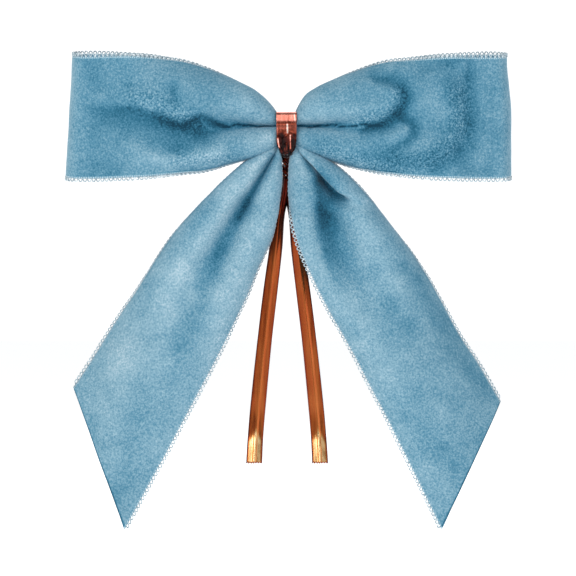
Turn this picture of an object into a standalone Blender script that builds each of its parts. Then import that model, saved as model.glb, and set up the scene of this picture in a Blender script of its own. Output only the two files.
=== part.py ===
"""Gift bow: two loops and two tails of velvet ribbon, pinched in the middle by a wired twist tie.

Metres, +Z up. The front of the bow faces -Y and +X is to the right seen from the front.
The origin is the centre of the flat back face of the tie's band.
"""

import math

import bmesh
import bpy
from mathutils import Vector

MM = 0.001

# Ribbon
RIBBON_WIDTH = 25.4 * MM
RIBBON_THICKNESS = 1.0 * MM

# Loops: reach is from the middle of the knot to the outer face of the fold
LOOP_REACH = 45.0 * MM
LOOP_DEPTH = 14.0 * MM
LOOP_RISE = 3.1 * MM
LOOP_ROOT_LIFT = 0.6 * MM
LOOP_ROOT_RADIUS = 1.1 * MM
LOOP_NOSE = 3.6 * MM
BACK_PANEL_LIFT = 0.9 * MM

# Tails: length runs down the middle line, the cut leaves the inner edge longer
TAIL_LENGTH = 70.4 * MM
TAIL_SPREAD = math.radians(29.5)
TAIL_CUT = 16.5 * MM
TAIL_ROOT_WIDTH = 3.6 * MM
TAIL_ROOT_RADIUS = 1.3 * MM
TAIL_FORWARD_LEAN = 1.6 * MM
TAIL_RIPPLE = 0.9 * MM

# Twist tie
TIE_WIDTH = 4.0 * MM
FILM_THICKNESS = 0.1 * MM
WIRE_DIAMETER = 0.45 * MM
BAND_HEIGHT = 7.6 * MM
BAND_DEPTH = 7.0 * MM
BAND_CORNER = 1.9 * MM
TWIST_LENGTH = 8.4 * MM
TWIST_TURNS = 2.0
LEG_LENGTH = 52.6 * MM
LEG_SPREAD = math.radians(5.6)
LEG_TOP_HALF_WIDTH_SHARE = 0.58
LEG_END_HALF_WIDTH_SHARE = 0.78

# Clearances
GLUE_GAP = 0.03 * MM
BAND_GAP = 0.08 * MM
SIDE_GAP = 0.4 * MM
TWIST_GAP = 0.05 * MM
LEG_GAP = 0.3 * MM
SWING_GAP = 1.0 * MM
LEG_SWING_GAP = 1.6 * MM

# Sizes that follow
MIDDLE_Y = -BAND_DEPTH / 2
WIRE_RADIUS = WIRE_DIAMETER / 2
WIRE_INSET = FILM_THICKNESS + GLUE_GAP + WIRE_RADIUS
BAND_INSIDE = 2 * FILM_THICKNESS + 2 * GLUE_GAP + WIRE_DIAMETER
GATHER_HALF_LENGTH = TIE_WIDTH / 2 + 0.6 * MM
STRAND_RADIUS = WIRE_RADIUS + GLUE_GAP + FILM_THICKNESS
TWIST_HELIX_RADIUS = STRAND_RADIUS + TWIST_GAP / 2 + 0.03 * MM
TWIST_RADIUS = TWIST_HELIX_RADIUS + STRAND_RADIUS
TWIST_TOP_Z = -BAND_HEIGHT / 2 - TWIST_GAP
TWIST_BOTTOM_Z = TWIST_TOP_Z - TWIST_LENGTH
TAIL_ROOT_Y = MIDDLE_Y - 1.5 * MM
TWIST_Y = TAIL_ROOT_Y + TAIL_ROOT_RADIUS + SIDE_GAP + TWIST_RADIUS
TAIL_ROOT_Z = -BAND_HEIGHT / 2 - SWING_GAP - TAIL_ROOT_RADIUS
TAIL_ROOT_X = SIDE_GAP + TAIL_ROOT_WIDTH / 2
LEG_ROOT_Z = TWIST_BOTTOM_Z - LEG_SWING_GAP
LEG_ROOT_Y = TWIST_Y
LOOP_ROOT_X = GATHER_HALF_LENGTH + SIDE_GAP + RIBBON_THICKNESS / 2 + LOOP_ROOT_RADIUS

VELVET = (0.147, 0.352, 0.482, 1.0)
COPPER_FILM = (0.52, 0.22, 0.13, 1.0)
STEEL = (0.42, 0.42, 0.43, 1.0)


def start_scene():
    for item in list(bpy.data.objects):
        bpy.data.objects.remove(item, do_unlink=True)
    collection = bpy.data.collections.new("gift_bow")
    bpy.context.scene.collection.children.link(collection)
    return collection


def principled(name, colour, roughness, metallic):
    material = bpy.data.materials.new(name)
    material.use_nodes = True
    shader = material.node_tree.nodes["Principled BSDF"]
    shader.inputs["Base Color"].default_value = colour
    shader.inputs["Roughness"].default_value = roughness
    shader.inputs["Metallic"].default_value = metallic
    return material


def finish_node(name, mesh_data, pivot, colour, roughness, metallic, collection):
    """Link one finished mesh as a node whose origin is its pivot."""
    for face in mesh_data.faces:
        face.smooth = True
    bmesh.ops.recalc_face_normals(mesh_data, faces=mesh_data.faces)
    bmesh.ops.translate(mesh_data, vec=-Vector(pivot), verts=mesh_data.verts)
    mesh = bpy.data.meshes.new(name)
    mesh_data.to_mesh(mesh)
    mesh_data.free()
    mesh.materials.append(principled(name, colour, roughness, metallic))
    node = bpy.data.objects.new(name, mesh)
    node.location = pivot
    collection.objects.link(node)
    return node


def loft(rings, closed):
    """Skin rings of equal point count, as one tube with flat ends or as a closed ring."""
    mesh_data = bmesh.new()
    made = [[mesh_data.verts.new(point) for point in ring] for ring in rings]
    count = len(made[0])
    pairs = list(zip(made, made[1:]))
    if closed:
        pairs.append((made[-1], made[0]))
    for first, second in pairs:
        for i in range(count):
            j = (i + 1) % count
            mesh_data.faces.new((first[i], first[j], second[j], second[i]))
    if not closed:
        mesh_data.faces.new(made[0])
        mesh_data.faces.new(made[-1])
    bmesh.ops.triangulate(mesh_data, faces=[f for f in mesh_data.faces if len(f.verts) > 4])
    return mesh_data


def ease(share):
    return share * share * (3 - 2 * share)


# Ribbon loops


def loop_edge_heights(share):
    """Bottom and top of the ribbon at a share of the way from the root to the fold."""
    root_bottom = -BAND_HEIGHT / 2 + LOOP_ROOT_LIFT
    root_top = BAND_HEIGHT / 2 + LOOP_ROOT_LIFT
    end_bottom = LOOP_RISE - RIBBON_WIDTH / 2
    end_top = LOOP_RISE + RIBBON_WIDTH / 2
    bottom = root_bottom + (end_bottom - root_bottom) * (1 - (1 - share) ** 2.6)
    top = root_top + (end_top - root_top) * (1 - (1 - share) ** 3.4)
    return bottom, top


def loop_path():
    """The ribbon's middle line seen from above, as x, y from the middle line and the back share."""
    half_depth = LOOP_DEPTH / 2 - RIBBON_THICKNESS / 2
    panel_end = LOOP_REACH - RIBBON_THICKNESS / 2 - LOOP_NOSE
    steps = 10
    front = []
    for i in range(steps + 1):
        share = i / steps
        x = LOOP_ROOT_X + (panel_end - LOOP_ROOT_X) * share
        bulge = math.sin(math.pi / 2 * min(1.0, share / 0.8) ** 0.9)
        front.append((x, -(LOOP_ROOT_RADIUS + (half_depth - LOOP_ROOT_RADIUS) * bulge)))
    nose = []
    for i in range(1, 8):
        angle = math.pi * i / 8
        nose.append((panel_end + LOOP_NOSE * math.sin(angle), -half_depth * math.cos(angle)))
    back = [(x, -y) for x, y in reversed(front)]
    root = []
    for i in range(1, 6):
        angle = math.pi * i / 6
        x = LOOP_ROOT_X - LOOP_ROOT_RADIUS * math.sin(angle)
        root.append((x, LOOP_ROOT_RADIUS * math.cos(angle)))
    return front + nose + back + root


def ribbon_loop(name, side, collection):
    """One open-ended loop: a closed band of ribbon that narrows to the pinched root."""
    mesh_data = bmesh.new()
    columns = []
    reach = LOOP_REACH - RIBBON_THICKNESS / 2
    rows = 6
    for x, y in loop_path():
        share = min(1.0, max(0.0, (x - LOOP_ROOT_X) / (reach - LOOP_ROOT_X)))
        bottom, top = loop_edge_heights(share)
        back_share = 0.5 + 0.5 * y / (LOOP_DEPTH / 2 - RIBBON_THICKNESS / 2)
        lift = BACK_PANEL_LIFT * back_share * ease(share)
        column = []
        for k in range(rows + 1):
            z = bottom + (top - bottom) * k / rows + lift
            column.append(mesh_data.verts.new((side * x, MIDDLE_Y + y, z)))
        columns.append(column)
    for first, second in zip(columns, columns[1:] + columns[:1]):
        for k in range(rows):
            mesh_data.faces.new((first[k], second[k], second[k + 1], first[k + 1]))
    pivot = (side * LOOP_ROOT_X, MIDDLE_Y, 0.0)
    node = finish_node(name, mesh_data, pivot, VELVET, 0.9, 0.0, collection)
    cloth = node.modifiers.new("ribbon thickness", "SOLIDIFY")
    cloth.thickness = RIBBON_THICKNESS
    cloth.offset = 0.0
    cloth.use_even_offset = True
    return node


# Ribbon tails


def bezier(start, control, end, share):
    rest = 1 - share
    return start * rest * rest + control * 2 * rest * share + end * share * share


def tail_section(inner, outer, half_thickness, middle_y, ripple, side):
    """A thin rounded strip from the inner edge to the outer edge, rippled front to back."""
    steps = 10
    front = []
    back = []
    for i in range(steps + 1):
        share = i / steps
        across = 2 * share - 1
        point = inner.lerp(outer, share)
        thick = half_thickness * max(0.35, math.sqrt(max(0.0, 1 - across**6)))
        y = middle_y - ripple * math.cos(2 * math.pi * across)
        front.append((side * point.x, y - thick, point.y))
        back.append((side * point.x, y + thick, point.y))
    return front + back[::-1]


def ribbon_tail(name, side, collection):
    """One hanging tail, from the pinched root to the slanting cut."""
    along = Vector((math.sin(TAIL_SPREAD), -math.cos(TAIL_SPREAD)))
    outward = Vector((math.cos(TAIL_SPREAD), math.sin(TAIL_SPREAD)))
    root = Vector((TAIL_ROOT_X, TAIL_ROOT_Z))
    half_root = Vector((TAIL_ROOT_WIDTH / 2, 0.0))
    end = root + along * TAIL_LENGTH
    outer_end = end + outward * RIBBON_WIDTH / 2 - along * TAIL_CUT / 2
    inner_end = end - outward * RIBBON_WIDTH / 2 + along * TAIL_CUT / 2
    outer_control = root + along * TAIL_LENGTH * 0.19 + outward * RIBBON_WIDTH * 0.45
    inner_control = root + along * TAIL_LENGTH * 0.28 - outward * RIBBON_WIDTH * 0.51
    rings = []
    for degrees in (80, 55, 28):
        angle = math.radians(degrees)
        lift = Vector((0.0, TAIL_ROOT_RADIUS * math.sin(angle)))
        half = TAIL_ROOT_RADIUS * math.cos(angle)
        rings.append(
            tail_section(root - half_root + lift, root + half_root + lift, half, TAIL_ROOT_Y, 0.0, side)
        )
    steps = 18
    for i in range(steps + 1):
        share = i / steps
        inner = bezier(root - half_root, inner_control, inner_end, share)
        outer = bezier(root + half_root, outer_control, outer_end, share)
        spread = ease(min(1.0, share / 0.3))
        half = TAIL_ROOT_RADIUS + (RIBBON_THICKNESS / 2 - TAIL_ROOT_RADIUS) * spread
        ripple = TAIL_RIPPLE * spread * (1 - 0.8 * share)
        middle_y = TAIL_ROOT_Y - TAIL_FORWARD_LEAN * share
        rings.append(tail_section(inner, outer, half, middle_y, ripple, side))
    pivot = (side * TAIL_ROOT_X, TAIL_ROOT_Y, TAIL_ROOT_Z)
    return finish_node(name, loft(rings, False), pivot, VELVET, 0.9, 0.0, collection)


# Gathered middle of the ribbon


def ribbon_gather(collection):
    """The pinched bundle of ribbon inside the tie's band."""
    half_height = BAND_HEIGHT / 2 - BAND_INSIDE - BAND_GAP
    half_depth = BAND_DEPTH / 2 - BAND_INSIDE - BAND_GAP
    rings = []
    for share in (-1.0, -0.8, -0.4, 0.0, 0.4, 0.8, 1.0):
        swell = 1.0 if abs(share) < 0.9 else 0.86
        ring = rounded_path(half_height * swell, half_depth * swell, (BAND_CORNER - BAND_INSIDE) * swell)
        rings.append([(share * GATHER_HALF_LENGTH, MIDDLE_Y + y, z) for y, z, _, _ in ring])
    return finish_node("ribbon_gather", loft(rings, False), (0, MIDDLE_Y, 0), VELVET, 0.9, 0.0, collection)


# Twist tie


def rounded_path(half_height, half_depth, corner):
    """Points and outward directions round a rounded rectangle in the YZ plane."""
    steps = 5
    path = []
    for quarter in range(4):
        y_sign = (1, -1, -1, 1)[quarter]
        z_sign = (1, 1, -1, -1)[quarter]
        centre_y = y_sign * (half_depth - corner)
        centre_z = z_sign * (half_height - corner)
        for i in range(steps + 1):
            angle = math.pi / 2 * (quarter + i / steps)
            out_y = math.cos(angle)
            out_z = math.sin(angle)
            path.append((centre_y + corner * out_y, centre_z + corner * out_z, out_y, out_z))
    return path


def over_wire_height(across):
    """How far the film that covers the wire stands off the glue line, near face first."""
    over_wire = WIRE_RADIUS + GLUE_GAP
    near = GLUE_GAP / 2
    if abs(across) < over_wire:
        near = max(near, GLUE_GAP / 2 + WIRE_RADIUS + math.sqrt(over_wire**2 - across**2))
    return near, near + FILM_THICKNESS


def across_steps():
    """Places across half the strip, closer together over the wire."""
    over_wire = WIRE_RADIUS + GLUE_GAP
    return [over_wire * share for share in (0.0, 0.5, 0.85, 1.02)] + [TIE_WIDTH * 0.32, TIE_WIDTH / 2]


def band_film(name, outer, collection):
    """One film of the strip's closed turn round the gathered ribbon."""
    half = across_steps()
    places = [-u for u in reversed(half[1:])] + half
    path = rounded_path(BAND_HEIGHT / 2, BAND_DEPTH / 2, BAND_CORNER)
    rings = []
    for y, z, out_y, out_z in path:
        near_side = []
        far_side = []
        for u in places:
            near, far = (0.0, FILM_THICKNESS) if outer else over_wire_height(u)
            if not outer:
                near += FILM_THICKNESS + GLUE_GAP / 2
                far += FILM_THICKNESS + GLUE_GAP / 2
            near_side.append((u, MIDDLE_Y + y - near * out_y, z - near * out_z))
            far_side.append((u, MIDDLE_Y + y - far * out_y, z - far * out_z))
        rings.append(near_side + far_side[::-1])
    return finish_node(name, loft(rings, True), (0, 0, 0), COPPER_FILM, 0.3, 1.0, collection)


def band_wire(collection):
    path = rounded_path(BAND_HEIGHT / 2, BAND_DEPTH / 2, BAND_CORNER)
    rings = []
    for y, z, out_y, out_z in path:
        ring = []
        for i in range(8):
            angle = math.pi * i / 4
            across = WIRE_RADIUS * math.sin(angle)
            inward = WIRE_INSET - WIRE_RADIUS * math.cos(angle)
            ring.append((across, MIDDLE_Y + y - inward * out_y, z - inward * out_z))
        rings.append(ring)
    return finish_node("tie_band_wire", loft(rings, True), (0, 0, 0), STEEL, 0.35, 1.0, collection)


def twist_rings(section, turn_start):
    """Carry a section down the helix, flat sides always facing the twist's axis."""
    steps = 30
    rings = []
    for i in range(steps + 1):
        share = i / steps
        angle = turn_start + 2 * math.pi * TWIST_TURNS * share
        out = Vector((math.cos(angle), math.sin(angle), 0.0))
        round_way = Vector((-math.sin(angle), math.cos(angle), 0.0))
        centre = Vector((0.0, TWIST_Y, TWIST_TOP_Z - TWIST_LENGTH * share)) + out * TWIST_HELIX_RADIUS
        rings.append([centre + out * a + round_way * b for a, b in section])
    return rings


def strand_section():
    """The strip rolled into a gutter round its wire, its slit facing the twist's axis."""
    inside = WIRE_RADIUS + GLUE_GAP
    outer_points = []
    inner_points = []
    for i in range(11):
        angle = math.radians(-150 + 30 * i)
        outer_points.append((STRAND_RADIUS * math.cos(angle), STRAND_RADIUS * math.sin(angle)))
        inner_points.append((inside * math.cos(angle), inside * math.sin(angle)))
    return outer_points + inner_points[::-1]


def twist_strand(name, turn_start, collection):
    mesh_data = loft(twist_rings(strand_section(), turn_start), False)
    return finish_node(name, mesh_data, (0, 0, 0), COPPER_FILM, 0.3, 1.0, collection)


def twist_wire(name, turn_start, collection):
    radius = WIRE_RADIUS * 0.96
    section = []
    for i in range(8):
        angle = math.pi * i / 4
        section.append((radius * math.cos(angle), radius * math.sin(angle)))
    mesh_data = loft(twist_rings(section, turn_start), False)
    return finish_node(name, mesh_data, (0, 0, 0), STEEL, 0.35, 1.0, collection)


def leg_centre(side, share):
    """Middle of the strip, straight down and outwards from the bend below the twist."""
    top_half = TIE_WIDTH / 2 * LEG_TOP_HALF_WIDTH_SHARE
    x = LEG_GAP / 2 + top_half + LEG_LENGTH * share * math.sin(LEG_SPREAD)
    z = LEG_ROOT_Z - LEG_LENGTH * share * math.cos(LEG_SPREAD)
    return Vector((side * x, LEG_ROOT_Y, z))


def leg_film(name, side, front, collection):
    """One film of a leg: a shallow gutter whose ridge over the wire faces the front."""
    half = across_steps()
    places = [-u for u in reversed(half[1:])] + half
    steps = 12
    rings = []
    for i in range(steps + 1):
        share = i / steps
        narrow = LEG_TOP_HALF_WIDTH_SHARE + (LEG_END_HALF_WIDTH_SHARE - LEG_TOP_HALF_WIDTH_SHARE) * share
        slope = math.sqrt(1 - narrow**2)
        easing = TIE_WIDTH * 0.12
        centre = leg_centre(side, share)
        sag = slope * TIE_WIDTH / 4
        near_side = []
        far_side = []
        for u in places:
            root = math.sqrt(u**2 + easing**2)
            steepness = slope * u / root
            normal = Vector((steepness, -narrow)).normalized()
            base = Vector((u * narrow, slope * (root - easing) - sag))
            near, far = over_wire_height(u) if front else (GLUE_GAP / 2, GLUE_GAP / 2 + FILM_THICKNESS)
            near_point = base + normal * (near if front else -near)
            far_point = base + normal * (far if front else -far)
            near_side.append(centre + Vector((near_point.x, near_point.y, 0.0)))
            far_side.append(centre + Vector((far_point.x, far_point.y, 0.0)))
        rings.append(near_side + far_side[::-1])
    return finish_node(name, loft(rings, False), leg_pivot(side), COPPER_FILM, 0.3, 1.0, collection)


def leg_wire(name, side, collection):
    steps = 12
    rings = []
    for i in range(steps + 1):
        share = i / steps
        narrow = LEG_TOP_HALF_WIDTH_SHARE + (LEG_END_HALF_WIDTH_SHARE - LEG_TOP_HALF_WIDTH_SHARE) * share
        sag = math.sqrt(1 - narrow**2) * TIE_WIDTH / 4
        centre = leg_centre(side, share) - Vector((0.0, sag + GLUE_GAP / 2 + WIRE_RADIUS, 0.0))
        ring = []
        for k in range(8):
            angle = math.pi * k / 4
            ring.append(centre + Vector((math.cos(angle), math.sin(angle), 0.0)) * WIRE_RADIUS * 0.96)
        rings.append(ring)
    return finish_node(name, loft(rings, False), leg_pivot(side), STEEL, 0.35, 1.0, collection)


def leg_pivot(side):
    return leg_centre(side, 0.0)


def main():
    collection = start_scene()
    ribbon_gather(collection)
    for side, word in ((-1, "left"), (1, "right")):
        ribbon_loop(f"ribbon_loop_{word}", side, collection)
        ribbon_tail(f"ribbon_tail_{word}", side, collection)
        leg_film(f"tie_leg_{word}_front_film", side, True, collection)
        leg_film(f"tie_leg_{word}_back_film", side, False, collection)
        leg_wire(f"tie_leg_{word}_wire", side, collection)
        turn_start = 0.0 if side > 0 else math.pi
        twist_strand(f"tie_twist_{word}_strand", turn_start, collection)
        twist_wire(f"tie_twist_{word}_wire", turn_start, collection)
    band_film("tie_band_outer_film", True, collection)
    band_film("tie_band_inner_film", False, collection)
    band_wire(collection)


main()
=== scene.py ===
"""A pre-made velvet gift bow on a copper twist tie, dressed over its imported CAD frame.

Shapes are worked out in millimetres and scaled by MM to the frame's metres. The front of the bow
faces -Y and +Z is up. Each loop, tail and leg is drawn on the right of the knot, and mirrored
for the left.
"""

import math

import bmesh
import bpy
import numpy as np
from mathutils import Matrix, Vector, noise


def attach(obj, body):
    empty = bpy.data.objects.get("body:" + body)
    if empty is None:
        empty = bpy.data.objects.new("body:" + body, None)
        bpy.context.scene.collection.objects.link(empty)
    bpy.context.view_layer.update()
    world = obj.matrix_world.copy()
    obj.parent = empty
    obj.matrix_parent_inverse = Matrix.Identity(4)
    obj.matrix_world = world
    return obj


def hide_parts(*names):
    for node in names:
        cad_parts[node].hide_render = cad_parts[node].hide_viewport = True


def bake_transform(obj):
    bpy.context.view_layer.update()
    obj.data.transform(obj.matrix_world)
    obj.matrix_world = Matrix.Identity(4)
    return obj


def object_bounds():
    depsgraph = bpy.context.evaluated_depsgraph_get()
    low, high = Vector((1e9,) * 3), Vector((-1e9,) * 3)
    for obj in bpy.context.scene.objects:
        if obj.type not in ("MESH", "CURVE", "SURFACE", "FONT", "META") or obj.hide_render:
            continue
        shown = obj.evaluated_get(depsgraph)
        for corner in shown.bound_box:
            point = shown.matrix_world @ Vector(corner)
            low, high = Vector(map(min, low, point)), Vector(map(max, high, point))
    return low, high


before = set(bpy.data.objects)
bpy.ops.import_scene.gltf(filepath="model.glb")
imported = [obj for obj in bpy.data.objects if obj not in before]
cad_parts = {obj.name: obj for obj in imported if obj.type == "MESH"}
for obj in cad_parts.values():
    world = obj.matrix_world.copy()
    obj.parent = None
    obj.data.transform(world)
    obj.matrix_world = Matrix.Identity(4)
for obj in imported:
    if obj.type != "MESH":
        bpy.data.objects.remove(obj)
CAD_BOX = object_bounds()

MM = 0.001
# Stock 1 in ribbon, picots included.
RIBBON_WIDTH = 25.4
PICOT_REACH = 0.62
PICOT_PITCH = 0.9
PICOT_YARN_RADIUS = 0.13
CLOTH_WIDTH = RIBBON_WIDTH - 2 * PICOT_REACH
PILE_CLOTH_THICKNESS = 0.75
SELVEDGE_WIDTH = 0.5
RIBBON_COLUMNS = 69
KNOT_MIDDLE_Y = -3.5
LEFT, RIGHT = -1, 1
WORDS = {LEFT: "left", RIGHT: "right"}


# ---------------------------------------------------------------- colours and materials


def linear(hex_colour):
    """An sRGB hex value as the linear colour that shaders work in."""
    channels = []
    for k in (1, 3, 5):
        value = int(hex_colour[k:k + 2], 16) / 255
        channels.append(value / 12.92 if value <= 0.04045 else ((value + 0.055) / 1.055) ** 2.4)
    return (*channels, 1.0)


def set_inputs(tree, node, **inputs):
    """Fill a node's inputs: each is a value, or a (node, output) pair to link from. The second
    of two inputs that share a name goes by its identifier, such as Value_001."""
    for name, value in inputs.items():
        wanted = name.replace("_", " ")
        socket = next(
            s for s in node.inputs if s.enabled and (s.name == wanted or s.identifier == name)
        )
        if isinstance(value, tuple) and hasattr(value[0], "outputs"):
            source, output = value
            found = next(o for o in source.outputs if o.enabled and o.name == output)
            tree.links.new(found, socket)
        else:
            socket.default_value = value


def add_node(tree, kind, settings=None, **inputs):
    """One shader node with its settings and its inputs."""
    node = tree.nodes.new(kind)
    for name, value in (settings or {}).items():
        setattr(node, name, value)
    set_inputs(tree, node, **inputs)
    return node


def ramp_stops(node, stops):
    """Set a colour ramp's stops from (position, hex colour) pairs."""
    elements = node.color_ramp.elements
    while len(elements) > 1:
        elements.remove(elements[-1])
    elements[0].position = stops[0][0]
    elements[0].color = linear(stops[0][1])
    for position, colour in stops[1:]:
        elements.new(position).color = linear(colour)
    return node


def new_material(name):
    """A material with its node tree and its shader."""
    material = bpy.data.materials.new(name)
    material.use_nodes = True
    return material, material.node_tree, material.node_tree.nodes["Principled BSDF"]


def per_metre(millimetres):
    """Texture scale whose features repeat about every so many millimetres."""
    return 1000.0 / millimetres


def wave_scale(millimetres):
    """Wave texture scale whose bands repeat every so many millimetres."""
    return per_metre(millimetres) * math.pi / 10


# Nearly all of a noise texture lies between these two values.
NOISE_SPAN = {"From_Min": 0.3, "From_Max": 0.7}


def cut_pile_velvet():
    """Polyester velvet, woven with a cut pile: matt, with a soft sheen and a fine sparkle from the
    fibre ends. The tone set on each point carries painted shade in the furrows, painted light on
    the crowns and round the folds, and painted glints that strengthen the sparkle."""
    material, tree, shader = new_material("polyester_velvet_cut_pile")
    place = add_node(tree, "ShaderNodeTexCoord")
    # The velvet's own tone, with painted shade and painted light, set on each point.
    pile_shading = add_node(tree, "ShaderNodeAttribute", {"attribute_name": "pile_tone_and_shade"})
    glint = add_node(tree, "ShaderNodeAttribute", {"attribute_name": "pile_glint"})
    # Finger-brushed patches are about 6 mm across.
    brushed = add_node(
        tree, "ShaderNodeTexNoise", Vector=(place, "Object"),
        Scale=per_metre(6.0), Detail=3.0, Roughness=0.55,
    )
    # Tufts are 0.15 mm apart; they are drawn at about 0.4 mm so that they show.
    tufts = add_node(
        tree, "ShaderNodeTexNoise", Vector=(place, "Object"),
        Scale=per_metre(0.38), Detail=2.0, Roughness=0.75,
    )
    patch = add_node(
        tree, "ShaderNodeMapRange", Value=(brushed, "Fac"), **NOISE_SPAN, To_Min=-0.06, To_Max=0.06
    )
    grain = add_node(
        tree, "ShaderNodeMapRange", Value=(tufts, "Fac"), **NOISE_SPAN, To_Min=-0.16, To_Max=0.16
    )
    sparkle = add_node(
        tree, "ShaderNodeMath", {"operation": "MULTIPLY"},
        Value=(grain, "Result"), Value_001=(glint, "Fac"),
    )
    with_patch = add_node(
        tree, "ShaderNodeMath", {"operation": "ADD"},
        Value=(pile_shading, "Fac"), Value_001=(patch, "Result"),
    )
    with_grain = add_node(
        tree, "ShaderNodeMath", {"operation": "ADD"},
        Value=(with_patch, "Value"), Value_001=(sparkle, "Value"),
    )
    tone = ramp_stops(
        add_node(tree, "ShaderNodeValToRGB", Fac=(with_grain, "Value")),
        [
            (0.0, "#113A4E"), (0.28, "#2B6681"), (0.5, "#51859E"),
            (0.72, "#82A7B9"), (1.0, "#BCD0DA"),
        ],
    )
    bump = add_node(
        tree, "ShaderNodeBump", Strength=0.55, Distance=0.00012, Height=(tufts, "Fac")
    )
    set_inputs(
        tree, shader, Base_Color=(tone, "Color"), Normal=(bump, "Normal"), Roughness=0.95,
        Specular_IOR_Level=0.12, Sheen_Weight=0.55, Sheen_Roughness=0.38,
        Sheen_Tint=linear("#D8ECF5"),
    )
    return material


def woven_back():
    """Plain polyester ground of the velvet, seen on the unlined side: flat filament yarn with a
    dull satin shine, ribbed across the ribbon by its picks."""
    material, tree, shader = new_material("polyester_ribbon_woven_back")
    across = add_node(tree, "ShaderNodeUVMap", {"uv_map": "ribbon"})
    place = add_node(tree, "ShaderNodeTexCoord")
    # Picks are 0.25 mm apart; they are drawn at 0.5 mm so that they show.
    picks = add_node(
        tree, "ShaderNodeTexWave", {"bands_direction": "X"}, Vector=(across, "UV"),
        Scale=wave_scale(0.5), Distortion=0.6, Detail=1.0,
    )
    # Thick and thin places in the yarn are about 1.4 mm long.
    yarn = add_node(
        tree, "ShaderNodeTexNoise", Vector=(place, "Object"), Scale=per_metre(1.4), Detail=4.0
    )
    mixed = add_node(
        tree, "ShaderNodeMath", {"operation": "MULTIPLY"},
        Value=(picks, "Fac"), Value_001=(yarn, "Fac"),
    )
    tone = ramp_stops(
        add_node(tree, "ShaderNodeValToRGB", Fac=(mixed, "Value")),
        [(0.0, "#4B87A8"), (0.45, "#6BA3C0"), (0.8, "#93BED4")],
    )
    bump = add_node(
        tree, "ShaderNodeBump", Strength=0.5, Distance=0.00006, Height=(mixed, "Value")
    )
    set_inputs(
        tree, shader, Base_Color=(tone, "Color"), Normal=(bump, "Normal"),
        Roughness=0.5, Sheen_Weight=0.2,
    )
    return material


def woven_selvedge():
    """The ribbon's flat edge, woven close and without pile from brighter filament yarn, so that
    it reads as a pale ribbed line."""
    material, tree, shader = new_material("polyester_selvedge_woven")
    across = add_node(tree, "ShaderNodeUVMap", {"uv_map": "ribbon"})
    # Two ribs to each picot.
    picks = add_node(
        tree, "ShaderNodeTexWave", {"bands_direction": "X"}, Vector=(across, "UV"),
        Scale=wave_scale(PICOT_PITCH / 2), Distortion=0.3, Detail=1.0,
    )
    tone = ramp_stops(
        add_node(tree, "ShaderNodeValToRGB", Fac=(picks, "Fac")),
        [(0.0, "#6596AE"), (0.55, "#8AB2C5"), (1.0, "#BCD6E1")],
    )
    bump = add_node(tree, "ShaderNodeBump", Strength=0.8, Distance=0.0001, Height=(picks, "Fac"))
    set_inputs(
        tree, shader, Base_Color=(tone, "Color"), Normal=(bump, "Normal"),
        Roughness=0.45, Sheen_Weight=0.3,
    )
    return material


def picot_yarn():
    """Bright polyester filament yarn of the tiny edge loops: almost white, softly shiny."""
    material, tree, shader = new_material("polyester_picot_yarn")
    place = add_node(tree, "ShaderNodeTexCoord")
    # The yarn's plies turn about every 0.5 mm.
    plies = add_node(
        tree, "ShaderNodeTexNoise", Vector=(place, "Object"), Scale=per_metre(0.5), Detail=2.0
    )
    tone = ramp_stops(
        add_node(tree, "ShaderNodeValToRGB", Fac=(plies, "Fac")),
        [(0.3, "#7B929E"), (0.5, "#A8BBC5"), (0.7, "#DDE8ED")],
    )
    set_inputs(tree, shader, Base_Color=(tone, "Color"), Roughness=0.42, Sheen_Weight=0.25)
    return material


def metallised_film(name, stops, roughness, lacquer, streaks):
    """Copper-lacquered metallised polyester film: a mirror-like skin over a soft strip. Its
    reflections
    are painted: each point's tone picks a darker or paler copper, so small creases show as painted
    bright or dark lines."""
    material, tree, shader = new_material(name)
    place = add_node(tree, "ShaderNodeTexCoord")
    # Painted reflections, highlights and shade, as a tone set on each point.
    crushed = add_node(tree, "ShaderNodeAttribute", {"attribute_name": "film_tone_and_light"})
    # Handling creases are about 0.7 mm apart and drawn out along the strip.
    drawn_out = add_node(
        tree, "ShaderNodeMapping", Vector=(place, "Object"), Scale=(1.0, 1.0, 0.045)
    )
    lines = add_node(
        tree, "ShaderNodeTexNoise", Vector=(drawn_out, "Vector"),
        Scale=per_metre(0.7), Detail=3.0, Roughness=0.6,
    )
    worn = add_node(
        tree, "ShaderNodeMapRange", Value=(lines, "Fac"), **NOISE_SPAN,
        To_Min=-streaks, To_Max=streaks,
    )
    both = add_node(
        tree, "ShaderNodeMath", {"operation": "ADD"},
        Value=(crushed, "Fac"), Value_001=(worn, "Result"),
    )
    tone = ramp_stops(add_node(tree, "ShaderNodeValToRGB", Fac=(both, "Value")), stops)
    bump = add_node(
        tree, "ShaderNodeBump", Strength=streaks * 3.3, Distance=0.0001, Height=(lines, "Fac")
    )
    rough = add_node(
        tree, "ShaderNodeMapRange", Value=(lines, "Fac"), **NOISE_SPAN,
        To_Min=roughness * 0.75, To_Max=roughness * 1.5,
    )
    set_inputs(
        tree, shader, Base_Color=(tone, "Color"), Normal=(bump, "Normal"),
        Roughness=(rough, "Result"), Metallic=1.0, Coat_Weight=lacquer, Coat_Roughness=0.12,
    )
    return material


def drawn_steel_wire():
    """Soft drawn iron wire of the tie: dull grey with small dark and bright marks."""
    material, tree, shader = new_material("drawn_steel_wire")
    place = add_node(tree, "ShaderNodeTexCoord")
    # Marks of the drawing die are about 0.3 mm across.
    marks = add_node(
        tree, "ShaderNodeTexNoise", Vector=(place, "Object"), Scale=per_metre(0.3), Detail=2.0
    )
    tone = ramp_stops(
        add_node(tree, "ShaderNodeValToRGB", Fac=(marks, "Fac")),
        [(0.3, "#6E6C6A"), (0.7, "#A9A7A4")],
    )
    set_inputs(tree, shader, Base_Color=(tone, "Color"), Roughness=0.38, Metallic=1.0)
    return material


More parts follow.
